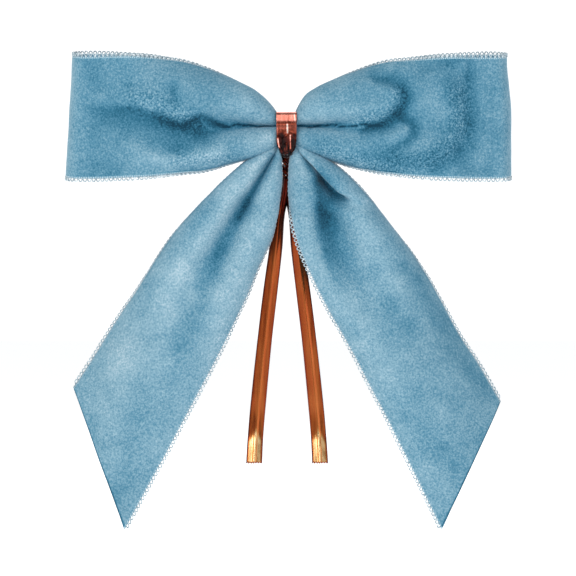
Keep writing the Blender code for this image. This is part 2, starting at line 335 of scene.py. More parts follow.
VELVET = cut_pile_velvet()
BACK = woven_back()
SELVEDGE = woven_selvedge()
PICOT = picot_yarn()
BAND_FILM = metallised_film(
    "copper_film_band",
    [
        (0.0, "#160301"), (0.25, "#4A150D"), (0.5, "#97452F"),
        (0.72, "#D07866"), (0.88, "#E39A88"), (1.0, "#FFEDE0"),
    ],
    roughness=0.24, lacquer=0.25, streaks=0.12,
)
LEG_FILM = metallised_film(
    "copper_film_legs",
    [
        (0.0, "#2A0402"), (0.2, "#6E1A08"), (0.42, "#99461D"),
        (0.6, "#AE6430"), (0.78, "#CB9257"), (0.95, "#F2D09A"),
    ],
    roughness=0.26, lacquer=0.15, streaks=0.05,
)
WIRE = drawn_steel_wire()


# ---------------------------------------------------------------- ways to shape cloth and film


def ease(value):
    """0 below 0, 1 above 1 and a smooth rise between."""
    share = np.clip(value, 0.0, 1.0)
    return share * share * (3 - 2 * share)


def rise(value, start, length):
    """0 up to start, then a smooth rise that reaches 1 after length."""
    return ease((value - start) / length)


def near(offset, width):
    """1 where offset is 0, falling to nothing a few widths away."""
    return np.exp(-((offset / width) ** 2))


def unit(vectors):
    """The same directions with length 1."""
    return vectors / np.maximum(np.linalg.norm(vectors, axis=-1, keepdims=True), 1e-9)


def lengths_along(points):
    """Length along a path from its first point to each of its points."""
    steps = np.linalg.norm(np.diff(points, axis=0), axis=1)
    return np.concatenate(([0.0], np.cumsum(steps)))


def along_stations(x, stations, column):
    """Smooth reading of a column of listed stations at x, the first column."""
    xs = np.array([row[0] for row in stations], float)
    ys = np.array([row[column] for row in stations], float)
    slopes = np.gradient(ys, xs)
    i = int(np.clip(np.searchsorted(xs, x) - 1, 0, len(xs) - 2))
    span = xs[i + 1] - xs[i]
    u = float(np.clip((x - xs[i]) / span, 0.0, 1.0))
    h00, h10 = 2 * u**3 - 3 * u**2 + 1, u**3 - 2 * u**2 + u
    h01, h11 = -2 * u**3 + 3 * u**2, u**3 - u**2
    return h00 * ys[i] + h10 * span * slopes[i] + h01 * ys[i + 1] + h11 * span * slopes[i + 1]


def headings(across, folds, softness):
    """Heading of the cloth at each place across it, in radians from flat.

    folds is a list of (start, end, heading at start, heading at end) in degrees. Each melts into
    the next over softness, and its turning carries on a little past its ends.
    """
    carry_on = 0.15
    heading = np.zeros_like(across)
    for start, end, first, last in folds:
        share = np.clip((across - start) / (end - start), -carry_on, 1 + carry_on)
        begun = 1.0 if start <= -1 else 1 / (1 + np.exp(-(across - start) / softness))
        ended = 0.0 if end >= 1 else 1 / (1 + np.exp(-(across - end) / softness))
        heading += (first + (last - first) * share) * (begun - ended)
    return np.radians(heading)


def fold_to_fit(heading, length, extent):
    """Fold a strip of that length until it only spans extent: returns its places across the
    span, from 0 to 1, and how far each stands behind the span's mean line."""
    step = length / (len(heading) - 1)

    def shape(amount):
        middle = (heading[1:] + heading[:-1]) / 2 * amount
        over = np.concatenate(([0.0], np.cumsum(np.cos(middle) * step)))
        back = np.concatenate(([0.0], np.cumsum(np.sin(middle) * step)))
        return over, back

    low, high = 0.0, 1.0
    halvings = 22
    for _ in range(halvings):
        amount = (low + high) / 2
        over, back = shape(amount)
        if over.max() - over.min() > extent:
            low = amount
        else:
            high = amount
    over, back = shape(high)
    span = over.max() - over.min()
    shrink = min(1.0, extent / span)
    return (over - over.min()) / span, (back - back.mean()) * shrink


def furrow(x, z, points, width, fading=0.0):
    """Soft valley along a path: 1 on the path, falling to 0 a few widths away. A pair of widths
    is for the path's left-hand and right-hand side. With fading, it grows shallower by that much
    over the last two thirds of the path."""
    best = np.zeros_like(x)
    nearest = np.full_like(x, np.inf)
    legs = len(points) - 1
    on_left, on_right = width if isinstance(width, tuple) else (width, width)
    for k, ((x0, z0), (x1, z1)) in enumerate(zip(points, points[1:])):
        run = (x1 - x0) ** 2 + (z1 - z0) ** 2
        share = np.clip(((x - x0) * (x1 - x0) + (z - z0) * (z1 - z0)) / run, 0, 1)
        away = (x - x0 - share * (x1 - x0)) ** 2 + (z - z0 - share * (z1 - z0)) ** 2
        turned = (x1 - x0) * (z - z0) - (z1 - z0) * (x - x0)
        reach = np.where(turned > 0, on_left, on_right)
        strength = 1 - fading * ease((k + share) / legs * 1.5 - 0.5)
        best = np.where(away < nearest, strength * np.exp(-away / reach**2), best)
        nearest = np.minimum(nearest, away)
    return best


def press_furrows(points, pile_shading, furrows, hold=1.0):
    """Press each valley into a grid of points and paint shade along it, both in place; a ridge gets
    painted light instead.
    """
    for path, depth, width, fading, dark in furrows:
        pressed = furrow(points[..., 0], points[..., 2], path, width, fading) * hold
        points[..., 1] += depth * pressed
        # Painted shade along a valley, painted light along a ridge.
        pile_shading -= dark * pressed


def softness_noise(points, size, seed):
    """Smooth wandering between -1 and 1 over a grid, its features about size across. Each seed
    reads another part of the noise."""
    shift = Vector((seed * 13.7, seed * 5.1, seed * 9.3))
    values = [noise.noise(Vector(p) / size + shift) for p in points.reshape(-1, 3)]
    return np.array(values).reshape(points.shape[:2])


def surface_normals(points):
    """The surface's own normal at every grid point."""
    return unit(np.cross(np.gradient(points, axis=0), np.gradient(points, axis=1)))


def rest_on_normals(points, amount):
    """Move every grid point along the surface's own normal by amount."""
    return points + surface_normals(points) * amount[..., None]


# ---------------------------------------------------------------- ways to make a piece


def in_scene(name, data):
    """An object for a mesh, a lamp or a camera, put in the scene."""
    made = bpy.data.objects.new(name, data)
    bpy.context.scene.collection.objects.link(made)
    return made


def grid_mesh(name, points, flip=False):
    """A mesh of four-sided faces on a grid of points in millimetres."""
    rows, columns = points.shape[:2]
    index = np.arange(rows * columns).reshape(rows, columns)
    corners = (index[:-1, :-1], index[1:, :-1], index[1:, 1:], index[:-1, 1:])
    quads = np.stack(corners, axis=2).reshape(-1, 4)
    if flip:
        quads = quads[:, ::-1]
    mesh = bpy.data.meshes.new(name)
    mesh.from_pydata((points.reshape(-1, 3) * MM).tolist(), [], quads.tolist())
    return mesh


def mark_points(mesh, word, values):
    """Give a mesh one value per point, under a word that its material reads."""
    layer = mesh.attributes.new(word, "FLOAT", "POINT")
    layer.data.foreach_set("value", values.reshape(-1).astype(np.float32))


def thickened(piece, thickness, offset, slot_step=0):
    """Make a piece's sheet so many millimetres thick and smooth. The other side and the rim take
    the material that many slots on."""
    solid = piece.modifiers.new("thickness", "SOLIDIFY")
    solid.thickness = thickness * MM
    solid.offset = offset
    solid.material_offset = slot_step
    solid.material_offset_rim = slot_step
    graph = bpy.context.evaluated_depsgraph_get()
    final = bpy.data.meshes.new_from_object(piece.evaluated_get(graph))
    piece.modifiers.clear()
    piece.data = final
    final.shade_smooth()
    return piece


def dress(piece, node, *more):
    """Let a piece stand for a CAD node, or for several, by hiding them."""
    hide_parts(node, *more)


def ribbon_piece(name, points, pile_shading, glint, flip):
    """A length of velvet ribbon from a grid of points in millimetres, with its pile, its woven
    back and its two selvedges."""
    rows, columns = points.shape[:2]
    mesh = grid_mesh(name, points, flip)
    steps = np.linalg.norm(np.diff(points, axis=0), axis=2).mean(axis=1)
    run = np.concatenate(([0.0], np.cumsum(steps)))
    across = np.linspace(-CLOTH_WIDTH / 2, CLOTH_WIDTH / 2, columns)
    uv = np.stack(np.broadcast_arrays(run[:, None], across[None, :]), axis=2).reshape(-1, 2) * MM
    layer = mesh.uv_layers.new(name="ribbon")
    corners = np.zeros(len(mesh.loops), int)
    mesh.loops.foreach_get("vertex_index", corners)
    layer.data.foreach_set("uv", uv[corners].reshape(-1))
    mark_points(mesh, "pile_tone_and_shade", pile_shading)
    mark_points(mesh, "pile_glint", glint)
    # Pile side and back of the velvet, then pile side and back of the selvedges.
    for material in (VELVET, BACK, SELVEDGE, SELVEDGE):
        mesh.materials.append(material)
    edge_columns = max(1, round(SELVEDGE_WIDTH / (CLOTH_WIDTH / (columns - 1))))
    column_of = np.tile(np.arange(columns - 1), rows - 1)
    at_edge = (column_of < edge_columns) | (column_of >= columns - 1 - edge_columns)
    mesh.polygons.foreach_set("material_index", np.where(at_edge, 2, 0).astype(np.int32))
    return thickened(in_scene(name, mesh), PILE_CLOTH_THICKNESS, offset=-1.0, slot_step=1)


def film_piece(name, points, tone, material, thickness):
    """A strip of film from a grid of points in millimetres; tone paints its reflections, highlights
    and shade, and is 0 where it's darkest.
    """
    mesh = grid_mesh(name, points)
    mark_points(mesh, "film_tone_and_light", tone)
    mesh.materials.append(material)
    return thickened(in_scene(name, mesh), thickness, offset=0.0)


def thread_tube(name, paths, radius, sides, material):
    """Round yarn or wire swept along each path of points, in millimetres."""
    # No path runs this way, so it can set off each ring's first direction.
    off_path = np.array([0.31, 0.87, 0.38])
    vertices, faces = [], []
    for path in paths:
        heading = unit(np.gradient(path, axis=0))
        first = unit(np.cross(heading, off_path))
        second = np.cross(heading, first)
        start = len(vertices)
        for k in range(len(path)):
            for i in range(sides):
                angle = 2 * math.pi * i / sides
                outward = first[k] * math.cos(angle) + second[k] * math.sin(angle)
                vertices.append(path[k] + radius * outward)
        for k in range(len(path) - 1):
            for i in range(sides):
                j = (i + 1) % sides
                a, b = start + k * sides, start + (k + 1) * sides
                faces.append((a + i, a + j, b + j, b + i))
        end = start + (len(path) - 1) * sides
        faces.append(tuple(start + i for i in reversed(range(sides))))
        faces.append(tuple(end + i for i in range(sides)))
    mesh = bpy.data.meshes.new(name)
    mesh.from_pydata([(v * MM).tolist() for v in vertices], [], faces)
    mesh.materials.append(material)
    mesh.shade_smooth()
    return in_scene(name, mesh)


def picot_path(edge, inner):
    """Yarn that runs along an edge in a row of tiny arches, one at every pitch."""
    points_per_picot = 14
    squareness = 5
    sunk_in = 0.05
    lengths = lengths_along(edge)
    count = int(lengths[-1] / PICOT_PITCH)
    places = np.linspace(0.0, count * PICOT_PITCH, count * points_per_picot + 1)
    outward = unit(edge - inner)
    on_edge = np.stack([np.interp(places, lengths, edge[:, k]) for k in range(3)], axis=1)
    away = np.stack([np.interp(places, lengths, outward[:, k]) for k in range(3)], axis=1)
    turn = places / PICOT_PITCH * math.pi
    throw = PICOT_REACH * (1 - np.abs(np.cos(turn)) ** squareness) - sunk_in
    return on_edge + away * throw[:, None]


def picots(name, points):
    """Picot yarn along both edges of a ribbon's grid of points."""
    first = picot_path(points[:, 0], points[:, 2])
    last = picot_path(points[:, -1], points[:, -3])
    return thread_tube(name, [first, last], PICOT_YARN_RADIUS, 5, PICOT)


def spread_out(values, rows, columns):
    """Running mean of a grid over so many rows and columns each way."""
    for axis, reach in ((0, rows), (1, columns)):
        kernel = np.ones(2 * reach + 1) / (2 * reach + 1)
        widths = [(reach, reach) if k == axis else (0, 0) for k in (0, 1)]
        padded = np.pad(values, widths, mode="edge")
        values = np.apply_along_axis(
            lambda line: np.convolve(line, kernel, mode="valid"), axis, padded
        )
    return values


def hollow_amount(points):
    """How far each place lies below its surroundings, on the pile side, in millimetres."""
    rows, columns = 5, 6
    around = np.stack([spread_out(points[..., k], rows, columns) for k in range(3)], axis=2)
    return ((around - points) * surface_normals(points)).sum(axis=2)


def uneven_cloth(points, pile_shading, seed):
    """Small unevenness of soft cloth, with a little random tone, painted shade in its hollows and
    painted light on its crowns.
    """
    slow = softness_noise(points, 9.0, seed)
    quick = softness_noise(points, 2.6, seed + 1)
    points = rest_on_normals(points, slow * 0.22 + quick * 0.05)
    hollow = hollow_amount(points)
    valley, crown = np.clip(hollow, 0.0, 0.6), np.clip(-hollow, 0.0, 0.5)
    # Random tone, painted shade in the hollows and painted light on the crowns.
    pile_shading = pile_shading + slow * 0.04 + quick * 0.03 - valley * 0.38 + crown * 0.06
    return points, pile_shading


def in_frame(points, side):
    """Points from the knot's middle, on their own side of it and at its depth in the frame."""
    placed = points.copy()
    placed[..., 0] *= side
    placed[..., 1] += KNOT_MIDDLE_Y
    return placed


def velvet_length(part, side, points, pile_shading, glint):
    """A loop or a tail with its picots, placed on its side of the knot, standing in for its CAD
    ribbon."""
    name = f"{part}_{WORDS[side]}"
    placed = in_frame(points, side)
    ribbon = ribbon_piece(f"velvet_{name}", placed, pile_shading, glint, side == LEFT)
    edges = picots(f"picots_{name}", placed)
    for piece in (ribbon, edges):
        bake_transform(piece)
    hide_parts(f"ribbon_{name}")


# ---------------------------------------------------------------- loops

# Each row: distance from the knot's middle, then the loop's bottom and top edges there.
LOOP_EDGES = {
    LEFT: [
        (1.6, -2.7, 3.1), (2.3, -3.3, 4.3), (4.0, -4.3, 6.5), (6.0, -5.2, 8.2), (8.6, -5.9, 9.7),
        (12.0, -6.8, 11.3), (16.5, -8.1, 13.0), (21.0, -8.9, 14.4), (27.5, -9.7, 15.3),
        (34.0, -10.05, 15.5), (42.0, -10.15, 15.5), (46.0, -10.1, 15.5),
    ],
    RIGHT: [
        (1.6, -2.7, 3.3), (2.3, -3.3, 4.9), (3.2, -3.8, 6.5), (6.0, -4.9, 8.8), (10.0, -6.3, 10.7),
        (14.3, -7.5, 12.4), (20.0, -8.8, 14.2), (26.0, -9.7, 14.9), (31.0, -10.0, 15.25),
        (37.0, -10.15, 15.35), (42.0, -10.15, 15.35), (46.0, -10.1, 15.3),
    ],
}

# Valleys (+) and ridges (-) in the front of each loop: path, depth, width, how much it fades, and
# how much shade is painted along it; below 0 it is painted light.
LOOP_FURROWS = {
    LEFT: [
        (
            [
                (12.4, 1.2), (13.8, 1.7), (15.7, 2.6), (17.1, 3.0), (18.5, 2.4), (20.3, 1.3),
                (22.3, 1.6), (24.2, 2.5), (26.5, 3.4), (29.5, 4.3), (34.0, 4.8),
            ],
            0.4, (0.45, 1.1), 0.5, 0.22,
        ),
        (
            [(17.5, 0.2), (21.0, 0.2), (26.0, 1.8), (32.0, 3.2), (37.0, 3.9), (43.0, 4.2)],
            0.8, (1.8, 3.0), 0.25, 0.22,
        ),
        ([(15.0, 0.2), (18.0, -1.6), (21.5, -3.6)], 0.4, 1.9, 0.3, 0.08),
        ([(21.5, -3.6), (26.0, -2.6), (31.0, -0.4)], 0.3, 2.0, 0.5, 0.06),
        ([(22.6, 8.4), (22.4, 5.8)], 0.4, 1.3, 0.0, 0.08),
        ([(16.0, 3.9), (19.0, 3.6), (22.0, 4.2), (26.0, 6.2), (30.0, 7.4)], -0.5, 1.7, 0.5, -0.02),
        (
            [(13.0, -4.4), (18.0, -5.7), (23.0, -6.2), (28.0, -5.0), (32.0, -2.6)],
            -0.4, 1.5, 0.6, -0.13,
        ),
        ([(2.0, -1.2), (9.0, -2.8)], -0.05, 1.8, 0.6, -0.09),
        ([(34.0, -7.4), (43.0, -6.6)], 0.2, 1.8, 0.0, 0.06),
    ],
    RIGHT: [
        (
            [
                (16.3, 0.8), (18.6, 1.2), (20.6, 2.3), (22.1, 3.8), (23.2, 5.3), (23.7, 7.0),
                (22.9, 8.7), (21.0, 9.8), (18.0, 10.2),
            ],
            0.7, (0.9, 2.0), 0.2, 0.26,
        ),
        ([(12.0, 3.4), (17.0, 3.8), (20.0, 5.4), (20.4, 7.4)], -0.5, 1.8, 0.0, 0.0),
        ([(8.5, 6.6), (16.5, 6.6)], 0.05, 2.0, 0.0, 0.05),
        (
            [(23.2, 2.2), (25.0, 1.6), (25.3, -0.4), (23.8, -2.2), (21.4, -3.4)],
            0.45, (1.6, 0.8), 0.3, 0.17,
        ),
        ([(17.0, -0.6), (21.0, -0.8), (23.2, -0.2)], -0.35, 1.2, 0.0, 0.0),
        (
            [(36.4, 10.5), (36.8, 4.0), (36.4, -1.0), (34.0, -5.4), (29.5, -8.0)],
            0.6, (3.2, 1.6), 0.2, 0.1,
        ),
        (
            [(32.6, 9.0), (33.6, 3.0), (32.8, -2.0), (30.0, -4.8), (24.0, -6.6)],
            -0.3, 1.8, 0.0, 0.09,
        ),
        ([(27.5, 12.8), (33.0, 13.8)], 0.3, 1.8, 0.0, 0.09),
        ([(6.0, -2.4), (13.0, -3.6), (21.0, -5.4)], 0.05, 2.0, 0.0, 0.07),
        ([(20.5, -5.6), (26.5, -6.6), (31.0, -5.6)], 0.0, 1.8, 0.0, 0.1),
    ],
}

# Painted glints, where the pile's grain sparkles more over a slightly darker tone: path and width.
LOOP_GLINTS = {
    LEFT: [
        ([(19.0, 1.6), (22.5, 3.0), (26.0, 5.6), (29.5, 6.8)], 2.3),
        ([(12.0, -5.2), (22.0, -6.2)], 1.6),
    ],
    RIGHT: [
        ([(15.0, 1.9), (19.0, 3.0), (22.0, 4.8), (22.2, 7.4)], 1.5),
        ([(34.4, 8.0), (34.8, 2.0), (33.0, -3.0), (28.0, -6.2), (17.0, -7.2), (8.0, -4.8)], 2.3),
    ],
}

LOOP_FACE_ROWS = 88
LOOP_FOLD_ROWS = 26
LOOP_START = 1.6
LOOP_REACH = {LEFT: 44.6, RIGHT: 45.3}
LOOP_NOSE = 2.9
LOOP_TURN = {side: reach - LOOP_NOSE for side, reach in LOOP_REACH.items()}
LOOP_ROOT_HALF_DEPTH = 1.45
LOOP_HALF_DEPTH = 6.7
LOOP_END_HALF_DEPTH = 4.3
LOOP_BACK_LIFT = 1.2
LOOP_BACK_FOLDS = [(-1.0, -0.3, 100, -50), (-0.3, 0.35, 50, -50), (0.35, 1.0, 50, -100)]
LOOP_PILE_TONE = 0.54
CREASE_HEIGHT = 1.15
# Painted shade along the front's crease: where it stops, and its width.
CREASE_SHADE_END = {LEFT: 0.25, RIGHT: 0.36}
CREASE_SHADE_WIDTH = 0.15
# Width of the painted shade along rolled edges.
ROLLED_EDGE_SHADE_WIDTH = 0.4
LOOP_FOLD_CLEARANCE = 5.0
FRONT, FOLD, REAR = -1, 0, 1


def loop_share(side, x):
    """How far x is along a loop, from 0 at its start to 1 where its fold begins."""
    return (x - LOOP_START) / (LOOP_TURN[side] - LOOP_START)


def loop_edge_heights(side, x):
    """Heights of the cloth's bottom and top edges at x. The picots stand out past them, except
    near the knot, where the edges roll under."""
    inset = PICOT_REACH * rise(x, 12.0, 14.0)
    bottom = along_stations(x, LOOP_EDGES[side], 1) + inset
    top = along_stations(x, LOOP_EDGES[side], 2) - inset
    return bottom, top


def loop_half_depth(share):
    """How far a loop's front and back stand from its middle plane."""
    swelling = math.sin(math.pi / 2 * min(1.0, share / 0.66)) ** 0.9
    depth = LOOP_ROOT_HALF_DEPTH + (LOOP_HALF_DEPTH - LOOP_ROOT_HALF_DEPTH) * swelling
    closing = rise(share, 0.62, 0.38) ** 1.4
    return depth - (LOOP_HALF_DEPTH - LOOP_END_HALF_DEPTH) * closing


def loop_row(side, x, face, angle, across):
    """Points across a loop: at x on its front or rear, or at an angle round its end fold."""
    bottom, top = loop_edge_heights(side, x)
    height = top - bottom
    if face == FOLD:
        end_x = x + LOOP_NOSE * math.sin(angle)
        y = -LOOP_END_HALF_DEPTH * math.cos(angle)
        z = bottom + height * (across + 1) / 2 + LOOP_BACK_LIFT * ease(angle / math.pi)
        return np.stack([np.full_like(z, end_x), np.full_like(z, y), z], axis=1)
    share = loop_share(side, x)
    softness = 0.008 + 0.075 * rise(share, 0.1, 0.35)
    if face == FRONT:
        crease = 2 * (CREASE_HEIGHT - bottom) / height - 1
        folds = [(-1.0, crease, -115, 88), (crease, 1.0, -88, 115)]
        lift = 0.0
    else:
        folds = LOOP_BACK_FOLDS
        softness += 0.03
        lift = LOOP_BACK_LIFT * ease(share)
    heading = headings(across, folds, softness)
    place, behind = fold_to_fit(heading, CLOTH_WIDTH, min(height, CLOTH_WIDTH))
    z = bottom + height * place + lift
    y = face * loop_half_depth(share) + behind
    return np.stack([np.full_like(z, x), y, z], axis=1)


def loop_row_shading(side, x, face, angle, z):
    """The pile's tone across a loop: a little paler by the knot, with a painted sheen round the end
    fold, and painted shade in the front's crease and along its rolled edges."""
    share = loop_share(side, x)
    # A little paler by the knot, and a painted sheen round the end fold.
    pile_shading = LOOP_PILE_TONE + 0.07 * (1 - rise(share, 0.0, 0.55)) + 0.1 * math.sin(angle)
    if face != FRONT:
        return np.full_like(z, pile_shading)
    wander = 0.18 * math.sin(0.9 * x) + 0.12 * math.sin(2.1 * x + side)
    # Painted shade along the crease.
    crease_shade = near(z - CREASE_HEIGHT - wander, CREASE_SHADE_WIDTH)
    crease_shade *= 1 - rise(share, CREASE_SHADE_END[side], 0.1)
    bottom, top = loop_edge_heights(side, x)
    # Painted shade along the rolled edges, stronger at the bottom.
    edges = 0.3 * near(z - bottom, ROLLED_EDGE_SHADE_WIDTH) + 0.12 * near(top - z, ROLLED_EDGE_SHADE_WIDTH)
    rolled = 1 - rise(x, 19.0, 9.0)
    return pile_shading - 0.6 * crease_shade - rolled * edges


def loop_points(side):
    """Grid of one loop in millimetres, from the front of the knot round the fold to its rear,
    with its pile's tone, painted shade and painted glints."""
    turn = LOOP_TURN[side]
    across = np.linspace(-1.0, 1.0, RIBBON_COLUMNS)
    # Rows lie a little closer together near the knot.
    front_x = LOOP_START + (turn - LOOP_START) * np.linspace(0.0, 1.0, LOOP_FACE_ROWS) ** 1.12
    path = [(x, FRONT, 0.0) for x in front_x]
    path += [(turn, FOLD, angle) for angle in np.linspace(0, math.pi, LOOP_FOLD_ROWS)[1:-1]]
    path += [(x, REAR, 0.0) for x in front_x[::-1]]
    points = np.stack([loop_row(side, *station, across) for station in path])
    pile_shading = np.stack([
        loop_row_shading(side, *station, row[:, 2]) for station, row in zip(path, points)
    ])
    glint = np.ones_like(pile_shading)
    front = slice(0, len(front_x))
    x, z = points[front, :, 0], points[front, :, 2]
    # Valleys die out before the end fold, so that the cloth turns evenly there.
    before_fold = ease((turn - x) / LOOP_FOLD_CLEARANCE)
    press_furrows(points[front], pile_shading[front], LOOP_FURROWS[side], hold=before_fold)
    # Painted glints: more sparkle in the grain, on a slightly darker tone.
    for glinting, width in LOOP_GLINTS[side]:
        glint_strength = furrow(x, z, glinting, width)
        glint[front] += glint_strength
        pile_shading[front] -= 0.07 * glint_strength
    # The end folds slant: the left one evenly, the right one only at its top corner.
    height = (points[..., 2] - LOOP_EDGES[side][-1][1]) / RIBBON_WIDTH
    slant = 1.5 * height if side == LEFT else 0.9 * rise(height, 0.55, 0.45)
    points[..., 0] -= slant * rise(points[..., 0], 30.0, 14.0)
    return points, pile_shading, glint


def ribbon_loop(side, seed):
    """One loop, open at the top and bottom."""
    points, pile_shading, glint = loop_points(side)
    points, pile_shading = uneven_cloth(points, pile_shading, seed)
    velvet_length(
        "loop", side, points, pile_shading, glint,
    )


# ---------------------------------------------------------------- tails

# Each row: share down the tail, then x and z of its inner edge and of its outer edge.
TAIL_EDGES = {
    LEFT: [
        (0.00, 1.0, -2.9, 1.5, -0.7), (0.03, 0.98, -5.2, 3.4, -2.6), (0.08, 0.88, -9.0, 7.6, -5.5),
        (0.15, 1.3, -13.6, 13.2, -10.2), (0.25, 2.5, -20.0, 20.4, -17.7),
        (0.40, 6.3, -30.6, 28.3, -28.3), (0.60, 13.3, -45.4, 34.9, -37.7),
        (0.80, 22.4, -62.5, 39.8, -45.4), (1.00, 32.1, -80.2, 43.3, -50.8),
    ],
    RIGHT: [
        (0.00, 1.0, -2.9, 1.5, -0.7), (0.03, 0.85, -5.2, 3.8, -2.9), (0.08, 0.42, -9.0, 8.8, -5.9),
        (0.15, 0.15, -13.6, 14.0, -10.2), (0.25, 1.0, -20.0, 20.4, -17.8),
        (0.40, 5.1, -30.6, 28.2, -28.0), (0.60, 12.9, -45.0, 34.9, -39.3),
        (0.80, 22.0, -62.5, 39.9, -47.2), (1.00, 30.7, -80.2, 43.6, -53.7),
    ],
}

# Fold profiles at the knot, below it and near the cut. Right: the outer part lies over the middle
# as a flap just below the knot.
TAIL_FOLDS = {
    LEFT: (
        [(-1.0, -0.05, -100, 88), (-0.05, 1.0, -92, 100)],
        [(-1.0, -0.05, -95, 80), (-0.05, 1.0, -85, 95)],
        [(-1.0, 1.0, -60, 60)],
    ),
    RIGHT: (
        [
            (-1.0, 0.05, -100, 85), (0.05, 0.34, -75, -140), (0.34, 0.42, -140, -15),
            (0.42, 1.0, -15, 92),
        ],
        [(-1.0, -0.3, -45, 80), (-0.3, 0.1, -80, -25), (0.1, 1.0, -25, 95)],
        [(-1.0, 1.0, -60, 60)],
    ),
}
FLAP_END = {LEFT: 0.3, RIGHT: 0.16}

# Path, depth, width, fading and how much shade is painted along it, as for the loops.
TAIL_FURROWS = {
    LEFT: [
        ([(2.8, -5.0), (4.4, -8.2), (7.0, -13.0), (9.4, -17.2)], 0.5, 0.95, 0.5, 0.3),
        (
            [
                (8.0, -15.0), (9.4, -17.4), (11.4, -20.8), (13.6, -25.0), (15.4, -29.5),
                (17.0, -34.0), (19.0, -39.5),
            ],
            0.4, 1.9, 0.9, 0.19,
        ),
        ([(18.6, -36.0), (21.5, -43.0), (23.5, -49.0)], 0.1, 2.6, 0.3, 0.09),
        (
            [(8.0, -10.5), (13.0, -17.5), (18.5, -24.5), (23.0, -31.0), (26.0, -38.0)],
            -0.2, 2.4, 0.5, -0.08,
        ),
        ([(15.0, -14.5), (20.5, -21.5), (26.5, -30.0), (32.5, -38.5)], 0.1, 1.7, 0.6, 0.09),
        ([(8.5, -24.0), (11.5, -31.0), (12.5, -34.0)], -0.1, 2.4, 0.0, -0.06),
        ([(2.6, -3.9), (7.0, -7.4)], -0.05, 0.6, 0.3, -0.12),
        ([(29.0, -60.0), (33.5, -72.0)], 0.05, 3.5, 0.0, 0.06),
        ([(32.0, -45.0), (39.0, -53.0)], -0.05, 3.0, 0.0, -0.08),
    ],
    RIGHT: [
        (
            [
                (6.4, -10.2), (6.9, -13.0), (6.9, -17.0), (7.3, -21.0), (8.7, -26.0), (10.6, -31.0),
                (12.7, -36.0),
            ],
            0.4, (3.0, 1.2), 0.95, 0.4,
        ),
        (
            [(3.6, -5.1), (4.9, -7.6), (6.9, -9.8), (8.9, -11.7), (11.0, -13.1)],
            0.15, (0.3, 0.9), 0.9, 0.28,
        ),
        ([(10.2, -15.5), (11.4, -19.5), (12.6, -24.0)], 0.1, 2.2, 0.6, 0.1),
        ([(24.5, -27.0), (29.5, -35.0), (34.5, -43.0), (39.5, -51.5)], 0.15, 2.3, 0.0, 0.12),
        ([(14.0, -15.5), (18.0, -23.0), (22.0, -30.0)], -0.1, 2.2, 0.0, -0.04),
        ([(10.0, -33.0), (14.0, -40.0), (18.0, -47.0)], -0.1, 2.8, 0.0, -0.05),
        ([(17.5, -27.5), (19.5, -32.0), (20.0, -36.0)], 0.05, 1.3, 0.6, 0.04),
        ([(22.5, -26.5), (21.3, -30.5), (21.0, -36.0)], 0.05, 1.1, 0.6, 0.04),
        ([(21.0, -35.0), (24.0, -38.0), (26.0, -41.0)], 0.1, 2.6, 0.0, 0.04),
        ([(2.8, -4.2), (3.4, -8.5)], -0.05, 0.8, 0.3, -0.08),
    ],
}

TAIL_ROWS = 170
# The columns of TAIL_EDGES that hold each edge.
INNER, OUTER = (1, 2), (3, 4)
TAIL_TILT_DEGREES = 13
TAIL_ROOT_FORWARD = 1.3
TAIL_FORWARD = 1.9
TAIL_STEP = 0.02
TAIL_PILE_TONE = {LEFT: 0.68, RIGHT: 0.64}
INNER_PICOTS_SHOW = {LEFT: 0.27, RIGHT: 0.1}


def tail_edge(side, share, columns):
    """x and z of a tail's inner or outer edge at that share down it."""
    return np.array([along_stations(share, TAIL_EDGES[side], k) for k in columns])


def tail_heading(side, across, share):
    """The tail's fold profile that far down it, one profile melting into the next."""
    upper, middle, lower = TAIL_FOLDS[side]
    softness = 0.02 + 0.06 * ease(share / 0.35)
    opened = rise(share, FLAP_END[side], 0.06)
    flattened = rise(share, 0.3, 0.32)
    drift = 0.1 * min(share / FLAP_END[side], 1.0) ** 3 if side == RIGHT else 0.0
    drifted = across - drift * rise(across, -0.2, 0.4)
    heading = headings(drifted, upper, softness) * (1 - opened)
    heading += headings(across, middle, softness + 0.02) * opened
    return heading * (1 - flattened) + headings(across, lower, 0.1) * flattened


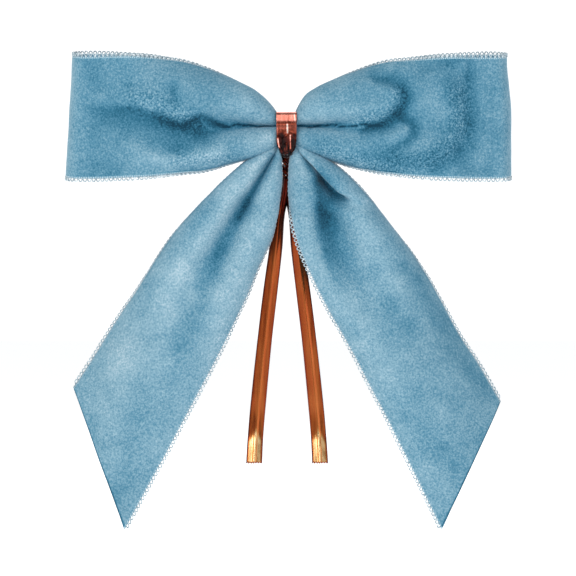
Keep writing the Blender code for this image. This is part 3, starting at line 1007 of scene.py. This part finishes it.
def tail_row(side, share, across):
    """Points across a tail at that share down it, and its pile's tone there, with painted shade
    along the rolled outer edge near the knot.
    """
    inner, outer = tail_edge(side, share, INNER), tail_edge(side, share, OUTER)
    ahead = tail_edge(side, min(share + TAIL_STEP, 1.0), INNER)
    passed = tail_edge(side, max(share - TAIL_STEP, 0.0), INNER)
    direction = (ahead - passed) / np.linalg.norm(ahead - passed)
    chord = outer - inner
    outward = chord / np.linalg.norm(chord)
    inner_inset = PICOT_REACH * rise(share, INNER_PICOTS_SHOW[side], 0.12)
    outer_inset = PICOT_REACH * rise(share, 0.3, 0.2)
    inner, chord = inner + outward * inner_inset, chord - outward * (inner_inset + outer_inset)
    width = float(np.linalg.norm(chord))
    # A line of points that runs aslant crosses more cloth than the ribbon's width.
    slant = abs(float(chord @ direction))
    # The outer edge turns back as the tail opens out.
    tilted = math.radians(TAIL_TILT_DEGREES) * rise(share, 0.2, 0.5)
    length = max(math.hypot(CLOTH_WIDTH, slant), width * 1.002)
    heading = tail_heading(side, across, share)
    place, behind = fold_to_fit(heading, length, min(width / math.cos(tilted), length))
    flat = inner[None, :] + chord[None, :] * place[:, None]
    # The tail comes forward out of the band, then leans forward a little all the way down.
    forward = TAIL_ROOT_FORWARD + TAIL_FORWARD * ease(share / 0.12) + 0.4 * share
    away = (place - 0.4) * width * math.tan(tilted)
    points = np.stack([flat[:, 0], -forward + behind + away, flat[:, 1]], axis=1)
    rolled = 1 - rise(share, 0.36, 0.16)
    pile_shading = TAIL_PILE_TONE[side] - 0.05 * rise(share, 0.6, 0.3)
    # Painted shade along the rolled outer edge.
    return points, pile_shading - 0.28 * rolled * near(width * (1 - place), ROLLED_EDGE_SHADE_WIDTH)


def tail_points(side):
    """Grid of one tail in millimetres, from inside the band to its slanting cut, with its pile's
    tone and painted shade."""
    across = np.linspace(-1.0, 1.0, RIBBON_COLUMNS)
    points = np.zeros((TAIL_ROWS, RIBBON_COLUMNS, 3))
    pile_shading = np.zeros((TAIL_ROWS, RIBBON_COLUMNS))
    # Rows lie a little closer together near the knot.
    for row, share in enumerate(np.linspace(0.0, 1.0, TAIL_ROWS) ** 1.15):
        points[row], pile_shading[row] = tail_row(side, share, across)
    press_furrows(points, pile_shading, TAIL_FURROWS[side])
    # The cut end shows the pile's dark roots.
    pile_shading[-1] -= 0.5
    return points, pile_shading


def ribbon_tail(side, seed):
    """One tail with its slanting cut."""
    points, pile_shading = tail_points(side)
    points, pile_shading = uneven_cloth(points, pile_shading, seed)
    velvet_length(
        "tail", side, points, pile_shading, np.ones_like(pile_shading),
    )


ribbon_loop(LEFT, seed=3)
ribbon_tail(LEFT, seed=11)
ribbon_loop(RIGHT, seed=7)
ribbon_tail(RIGHT, seed=17)


# ---------------------------------------------------------------- pinched middle

MIDDLE_HALF_WIDTH = 1.8
MIDDLE_HALF_DEPTH = 2.55
MIDDLE_HALF_HEIGHT = 2.85
MIDDLE_PLEATS = 13
MIDDLE_PILE_TONE = 0.45


def rounded_square(value):
    """A sine or cosine swollen towards a square's side."""
    return math.copysign(abs(value) ** 0.7, value)


def ribbon_middle():
    """The ribbon's pleats where the tie squeezes them, as one deeply fluted bundle."""
    columns = 96
    mesh_data = bmesh.new()
    rings = []
    for x in np.linspace(-MIDDLE_HALF_WIDTH, MIDDLE_HALF_WIDTH, 13):
        ring = []
        for i in range(columns):
            angle = 2 * math.pi * i / columns
            flute = 0.16 * math.cos(MIDDLE_PLEATS * angle + 0.5 * math.sin(3 * angle))
            reach = 1 + flute * 0.6
            y = MIDDLE_HALF_DEPTH * reach * rounded_square(math.cos(angle))
            z = MIDDLE_HALF_HEIGHT * reach * rounded_square(math.sin(angle))
            ring.append(mesh_data.verts.new((x * MM, (KNOT_MIDDLE_Y + y) * MM, z * MM)))
        rings.append(ring)
    for first, second in zip(rings, rings[1:]):
        for i in range(columns):
            j = (i + 1) % columns
            mesh_data.faces.new((first[i], second[i], second[j], first[j]))
    mesh_data.faces.new(rings[0])
    mesh_data.faces.new(rings[-1][::-1])
    bmesh.ops.recalc_face_normals(mesh_data, faces=mesh_data.faces)
    mesh = bpy.data.meshes.new("velvet_middle")
    mesh_data.to_mesh(mesh)
    mesh_data.free()
    mark_points(mesh, "pile_tone_and_shade", np.full(len(mesh.vertices), MIDDLE_PILE_TONE))
    mark_points(mesh, "pile_glint", np.ones(len(mesh.vertices)))
    mesh.materials.append(VELVET)
    mesh.shade_smooth()
    piece = in_scene("velvet_middle", mesh)
    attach(piece, "knot")
    dress(piece, "ribbon_gather")


ribbon_middle()


# ---------------------------------------------------------------- twist tie

TIE_WIDTH = 4.0
FILM_THICKNESS = 0.1
LEG_FILM_THICKNESS = 0.07
WIRE_RADIUS = 0.225
WIRE_SIDES = 8
TWIST_X = -0.18
TWIST_Y = -2.535
TWIST_TOP_Z = -4.3
TWIST_END_Z = -12.6
TWIST_TURNS = 2.0
TWIST_REACH = 0.34
TWIST_WIRE_REACH = 0.26
TWIST_GIRTH = 1.5
TWIST_WIDENING = 0.7


def crumples(points, size, seed):
    """Sharp-crested handling creases: 1 on a crest, less between."""
    return 1 - np.abs(softness_noise(points, size, seed)) * 2.2


# The band's turn seen from the side: y and z in millimetres, half width, crumpling and tone, from
# the twist up the front, over the top and down the back to the twist again. The tone paints the
# film's reflection: dark low down by the twist, pale over the top.
BAND_TURN = [
    (-2.7, -5.3, 0.85, 0.6, 0.0), (-4.4, -5.1, 0.9, 0.9, 0.0), (-5.9, -4.5, 0.98, 1.0, 0.03),
    (-6.75, -3.2, 1.75, 1.0, 0.08), (-7.0, -1.6, 2.0, 0.9, 0.2), (-7.05, -0.2, 2.02, 0.6, 0.46),
    (-7.0, 1.35, 2.02, 0.3, 0.6), (-6.9, 1.6, 2.04, 0.1, 0.3), (-6.6, 1.9, 2.04, 0.05, 0.74),
    (-6.0, 3.6, 2.05, 0.05, 0.8), (-5.4, 3.95, 2.05, 0.05, 0.75), (-3.5, 3.95, 2.05, 0.1, 0.7),
    (-1.3, 3.8, 2.05, 0.1, 0.7), (-0.35, 3.0, 2.05, 0.1, 0.7), (-0.02, 1.6, 2.03, 0.15, 0.65),
    (-0.02, -0.4, 2.0, 0.3, 0.6), (-0.15, -2.2, 1.9, 0.6, 0.5), (-0.75, -3.6, 1.4, 0.9, 0.3),
    (-1.7, -4.6, 0.95, 0.9, 0.1), (-2.4, -5.3, 0.75, 0.6, 0.0),
]

# Creases of the band's front that catch the light (+) or fall dark (-): path, width, strength.
BAND_MARKS = [
    ([(0.15, 1.3), (0.2, -0.3)], 0.2, 0.75), ([(0.75, -0.8), (0.8, -3.4)], 0.12, 0.85),
    ([(-1.75, -1.5), (-1.5, -3.2)], 0.15, 0.95), ([(-1.85, 0.9), (-1.8, -0.6)], 0.1, 0.25),
    ([(-1.1, -0.6), (-0.9, -0.9)], 0.42, -0.4), ([(-0.8, -1.8), (-0.5, -3.0)], 0.5, -0.22),
    ([(1.5, -0.7), (1.7, -0.9)], 0.32, -0.4), ([(1.5, -1.9), (1.3, -3.1)], 0.45, -0.25),
    ([(0.0, -2.4), (0.1, -4.4)], 0.14, 0.3), ([(-0.35, -3.3), (-0.3, -4.6)], 0.1, 0.35),
    ([(1.55, 3.4), (1.75, 1.9)], 0.13, 0.3), ([(0.45, 3.6), (0.4, 1.9)], 0.1, -0.12),
]

# The crumpled strip across, as folds.
BAND_PLEATS = [
    (-1.0, -0.45, 55, -85), (-0.45, 0.1, 80, -70), (0.1, 0.5, 85, -60), (0.5, 1.0, 70, -70),
]
BAND_FRONT_SHARE = 0.45
BAND_WIRE_DEPTH = 0.3
WIDE_CRUMPLE, FINE_CRUMPLE = 0.14, 0.05


def tie_band():
    """The strip's turn round the pinched ribbon, gathered into the twist at both ends."""
    rows, columns = 190, 49
    across = np.linspace(-1.0, 1.0, columns)
    turn = np.array(BAND_TURN)
    lengths = lengths_along(turn[:, :2])
    places = np.linspace(0.0, lengths[-1], rows)
    read = [np.interp(places, lengths, column) for column in turn.T]
    # A running mean over five rows rounds the turn's corners.
    read = [np.convolve(np.pad(r, 2, mode="edge"), np.ones(5) / 5, mode="valid") for r in read]
    y, z, half, crumple, tone = read
    # Each place's outward direction in the turn's own plane.
    out_y, out_z = -np.gradient(z), np.gradient(y)
    size = np.hypot(out_y, out_z)
    out_y, out_z = out_y / size, out_z / size
    points = np.zeros((rows, columns, 3))
    heading = headings(across, BAND_PLEATS, 0.04)
    for row in range(rows):
        place, proud = fold_to_fit(heading, TIE_WIDTH, 2 * half[row])
        x = (2 * place - 1) * half[row]
        points[row] = np.stack(
            [x, y[row] - proud * out_y[row], z[row] - proud * out_z[row]], axis=1
        )
    wide, fine = crumples(points, 1.5, 21), crumples(points, 0.6, 22)
    crushed = (wide * WIDE_CRUMPLE + fine * FINE_CRUMPLE) * crumple[:, None]
    points = rest_on_normals(points, crushed)
    tones = tone[:, None] + crumple[:, None] * 0.12 * softness_noise(points, 0.8, 23)
    front = (np.arange(rows) < rows * BAND_FRONT_SHARE)[:, None]
    # Painted highlights and painted shade on the front's creases.
    for path, width, strength in BAND_MARKS:
        tones += front * strength * furrow(points[..., 0], points[..., 2], path, width)
    band = film_piece("tie_band", points, np.clip(tones, 0.0, 1.0), BAND_FILM, FILM_THICKNESS)
    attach(band, "knot")
    dress(band, "tie_band_outer_film", "tie_band_inner_film")
    core = np.stack(
        [np.zeros(rows), y - BAND_WIRE_DEPTH * out_y, z - BAND_WIRE_DEPTH * out_z], axis=1
    )
    wire = thread_tube("tie_band_wire_core", [core[::3]], WIRE_RADIUS, WIRE_SIDES, WIRE)
    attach(wire, "knot")
    dress(wire, "tie_band_wire")


# The strip across, crushed almost to a rod.
TWIST_PLEATS = [(-1.0, -0.35, 150, -120), (-0.35, 0.3, 120, -130), (0.3, 1.0, 140, -120)]


def twist_strand(side):
    """One end of the strip, crushed and wound round the other below the band."""
    name = f"tie_twist_{WORDS[side]}"
    rows, columns = 120, 25
    heading = headings(np.linspace(-1.0, 1.0, columns), TWIST_PLEATS, 0.05)
    points = np.zeros((rows, columns, 3))
    core = np.zeros((rows, 3))
    for row, share in enumerate(np.linspace(0.0, 1.0, rows)):
        girth = TWIST_GIRTH + TWIST_WIDENING * (1 - ease(share / 0.35))
        place, proud = fold_to_fit(heading, TIE_WIDTH, girth)
        start_angle = 0.0 if side == RIGHT else math.pi
        angle = start_angle + 2 * math.pi * TWIST_TURNS * share + 0.25 * math.sin(9 * share)
        reach = TWIST_REACH + 0.05 * math.sin(14 * share + side)
        out = np.array([math.cos(angle), math.sin(angle)])
        round_way = np.array([-math.sin(angle), math.cos(angle)])
        wide = (place - 0.5) * girth
        flat = out[None, :] * (reach + proud[:, None] * 0.8) + round_way[None, :] * wide[:, None]
        z = TWIST_TOP_Z + (TWIST_END_Z - TWIST_TOP_Z) * share
        points[row] = np.stack(
            [flat[:, 0] + TWIST_X, TWIST_Y + flat[:, 1], np.full(columns, z)], axis=1
        )
        wire_out = out * TWIST_WIRE_REACH
        core[row] = (wire_out[0] + TWIST_X, TWIST_Y + wire_out[1], z)
    crease = crumples(points, 0.8, 31 + side)
    points = rest_on_normals(points, crease * 0.08)
    # A dark strand with painted highlights on the crease crests.
    tones = 0.05 + 0.6 * np.clip(crease, 0.0, 1.0) ** 10
    strand = film_piece(name, points, tones, LEG_FILM, FILM_THICKNESS)
    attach(strand, "knot")
    dress(strand, f"{name}_strand")
    wire = thread_tube(f"{name}_wire_core", [core[::3]], WIRE_RADIUS, WIRE_SIDES, WIRE)
    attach(wire, "knot")
    dress(wire, f"{name}_wire")


# Each row: share down the leg from the twist, then x, y, z of its middle, its half width and tone.
# The tone paints the film's reflection, darkest by the twist.
LEG_LINE = [
    (0.00, 0.18, -3.0, -9.4, 0.7, 0.04), (0.04, 0.45, -3.0, -12.0, 0.85, 0.1),
    (0.08, 1.05, -3.0, -14.6, 1.0, 0.16), (0.13, 1.55, -3.0, -17.3, 1.12, 0.24),
    (0.23, 2.1, -3.0, -22.8, 1.3, 0.36), (0.37, 3.13, -2.95, -31.0, 1.42, 0.43),
    (0.57, 4.4, -2.9, -41.8, 1.45, 0.45), (0.77, 5.5, -2.9, -52.7, 1.52, 0.47),
    (0.86, 6.0, -2.95, -58.2, 1.55, 0.48), (0.90, 6.2, -3.25, -60.8, 1.55, 0.49),
    (0.95, 6.37, -3.95, -63.5, 1.57, 0.46), (1.00, 6.5, -4.75, -66.6, 1.6, 0.46),
]

# The strip across, from rolled-in edge to rolled-in edge: a tight channel by the twist, and one
# with a flatter floor further down.
LEG_TIGHT = [(-1.0, -0.6, -82, -66), (-0.6, 0.0, -30, -16), (0.0, 0.6, 16, 30), (0.6, 1.0, 66, 82)]
LEG_OPENED = [(-1.0, -0.72, -88, -84), (-0.72, 0.0, -9, -4), (0.0, 0.72, 4, 9), (0.72, 1.0, 84, 88)]
OVER_WIRE_WIDTH = 0.34
# How far each film bulges over the wire, and how far the back film lies behind the front one.
FRONT_BULGE, BACK_BULGE, FILM_GAP = 0.14, 0.3, 0.16
LEG_ROWS, LEG_COLUMNS = 200, 41


def leg_row_tone(place, share, tone):
    """The film's tone across a leg: painted shade at its edges, a painted highlight on the wire's
    ridge, and a pale gold painted highlight at the end, which leaves thin painted shade lines
    beside the wire."""
    off_middle = np.abs(place - 0.5) * 2
    # Painted highlight at the leg's end, where it tips towards the light.
    end_highlight = ease((share - 0.87 - 0.045 * off_middle) / 0.03) * (1 - rise(off_middle, 0.72, 0.16))
    edge_shade = 0.26 * near(off_middle - 1, 0.2)
    ridge_light = (0.1 - 0.05 * share) * near(off_middle - 0.06, 0.06)
    wire_shade_lines = 0.5 * end_highlight * near(off_middle - 0.2, 0.05)
    return tone - edge_shade + ridge_light + 0.41 * end_highlight - wire_shade_lines


def leg_grids(side):
    """Grids of a leg's front and back film in millimetres, and the front film's tones."""
    across = np.linspace(-1.0, 1.0, LEG_COLUMNS)
    tight, opened = headings(across, LEG_TIGHT, 0.035), headings(across, LEG_OPENED, 0.02)
    over_wire = near(across * TIE_WIDTH / 2, OVER_WIRE_WIDTH)
    front = np.zeros((LEG_ROWS, LEG_COLUMNS, 3))
    back = np.zeros_like(front)
    tones = np.zeros((LEG_ROWS, LEG_COLUMNS))
    for row, share in enumerate(np.linspace(0.0, 1.0, LEG_ROWS)):
        x, y, z, half, tone = (float(along_stations(share, LEG_LINE, k)) for k in (1, 2, 3, 4, 5))
        # The left leg leaves the twist in front of the right one, which leans out a little more.
        y += 0.4 * side * (1 - ease(share / 0.13))
        x += 0.25 * share if side == RIGHT else 0.0
        flat_share = rise(share, 0.15, 0.25)
        heading = tight * (1 - flat_share) + opened * flat_share
        place, behind = fold_to_fit(heading, TIE_WIDTH, 2 * half)
        turned = 0.5 * (1 - ease(share / 0.12)) * side
        wide = (place - 0.5) * 2 * half
        chopped = 0.1 * np.sign(np.sin(across * 26)) if row == LEG_ROWS - 1 else 0.0
        for grid, deep in (
            (front, behind - FRONT_BULGE * over_wire),
            (back, behind + FILM_GAP + BACK_BULGE * over_wire),
        ):
            grid[row] = np.stack([
                side * x + wide * math.cos(turned) - deep * math.sin(turned),
                y + wide * math.sin(turned) + deep * math.cos(turned),
                np.full(LEG_COLUMNS, z) + chopped,
            ], axis=1)
        tones[row] = leg_row_tone(place, share, tone)
    # Painted shade darkens the chopped end.
    tones[-1] = 0.1
    return front, back, tones


def leg_strip(side):
    """A leg's two films, folded to a channel with a ridge over the wire between them, and the
    wire. It ends in a chopped edge."""
    name = f"tie_leg_{WORDS[side]}"
    front, back, tones = leg_grids(side)
    # Squeezed along the leg, so that the unevenness it picks up is drawn out along the film.
    sway = front * np.array([1.0, 1.0, 0.06])
    tones += 0.05 * softness_noise(sway, 0.7, 51 + side)
    tones += 0.04 * softness_noise(front, 3.0, 53 + side)
    for word, points in (("front", front), ("back", back)):
        points = rest_on_normals(points, softness_noise(sway, 1.1, 41 + side) * 0.015)
        film = film_piece(
            f"{name}_{word}", points, np.clip(tones, 0.0, 1.0), LEG_FILM, LEG_FILM_THICKNESS
        )
        bend_with_leg(film)
        dress(film, f"{name}_{word}_film")
    middle = LEG_COLUMNS // 2
    core = (front[:-1, middle] + back[:-1, middle]) / 2
    wire = thread_tube(f"{name}_wire_core", [core[::4]], WIRE_RADIUS, WIRE_SIDES, WIRE)
    bend_with_leg(wire)
    dress(wire, f"{name}_wire")


def bend_with_leg(piece):
    """Bake a piece of a leg's placing into its mesh."""
    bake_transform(piece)


tie_band()
for make in (twist_strand, leg_strip):
    for hand in (LEFT, RIGHT):
        make(hand)


# ---------------------------------------------------------------- studio

FLOOR_REACH = 3.0
FLOOR_DROP = 0.012


def paper_floor():
    """A wide sheet of matt white paper below the bow, lit enough to fade into the background."""
    level = CAD_BOX[0][2] - FLOOR_DROP
    corners = [
        (x * FLOOR_REACH, y * FLOOR_REACH, level) for x, y in ((-1, -1), (1, -1), (1, 1), (-1, 1))
    ]
    mesh = bpy.data.meshes.new("studio_floor")
    mesh.from_pydata(corners, [], [(0, 1, 2, 3)])
    material, tree, shader = new_material("matt_white_paper_floor")
    set_inputs(
        tree, shader, Base_Color=linear("#FAFAF9"), Roughness=0.9, Specular_IOR_Level=0.1,
        Emission_Color=(1.0, 1.0, 1.0, 1.0), Emission_Strength=0.62,
    )
    mesh.materials.append(material)
    in_scene("studio_floor", mesh)


def studio_room():
    """White to look at, and a dimmer, slightly cool white as light."""
    world = bpy.data.worlds.new("studio_room")
    bpy.context.scene.world = world
    world.use_nodes = True
    tree = world.node_tree
    tree.nodes.clear()
    seen = add_node(tree, "ShaderNodeBackground", Color=(1.0, 1.0, 1.0, 1.0), Strength=1.15)
    fill = add_node(tree, "ShaderNodeBackground", Color=linear("#F4F7FA"), Strength=0.42)
    rays = add_node(tree, "ShaderNodeLightPath")
    both = add_node(
        tree, "ShaderNodeMixShader", Fac=(rays, "Is Camera Ray"),
        Shader=(fill, "Background"), Shader_001=(seen, "Background"),
    )
    add_node(tree, "ShaderNodeOutputWorld", Surface=(both, "Shader"))


def softbox(name, place, size, power, colour):
    """A square soft light aimed at the bow; places and sizes in metres."""
    light = bpy.data.lights.new(name, "AREA")
    light.shape = "SQUARE"
    light.size = size
    light.energy = power
    light.color = linear(colour)[:3]
    lamp = in_scene(name, light)
    lamp.location = place
    aim = Vector((0.0, -0.004, -0.03)) - Vector(place)
    lamp.rotation_euler = aim.to_track_quat("-Z", "Y").to_euler()


def product_camera():
    """Long lens square to the front, at the height of the bow's middle."""
    data = bpy.data.cameras.new("product_camera")
    distance = 0.62
    view_width = 0.1152
    data.sensor_width = 36.0
    data.lens = data.sensor_width * distance / view_width
    data.clip_start = 0.01
    camera = in_scene("product_camera", data)
    camera.location = (0.0003, -0.008 - distance, -0.0314)
    camera.rotation_euler = (math.radians(90), 0.0, 0.0)
    bpy.context.scene.camera = camera
    bpy.context.scene.view_settings.view_transform = "Standard"


paper_floor()
studio_room()
softbox("key_softbox", (-0.42, -0.62, 0.5), 0.42, 3.4, "#FFFDF8")
softbox("fill_softbox", (0.55, -0.6, 0.12), 0.4, 0.9, "#F6FAFF")
softbox("front_reflector", (0.0, -0.62, 0.5), 0.3, 0.42, "#FFFFFF")
softbox("rim_softbox", (0.1, 0.55, 0.45), 0.5, 1.6, "#FFFFFF")
product_camera()
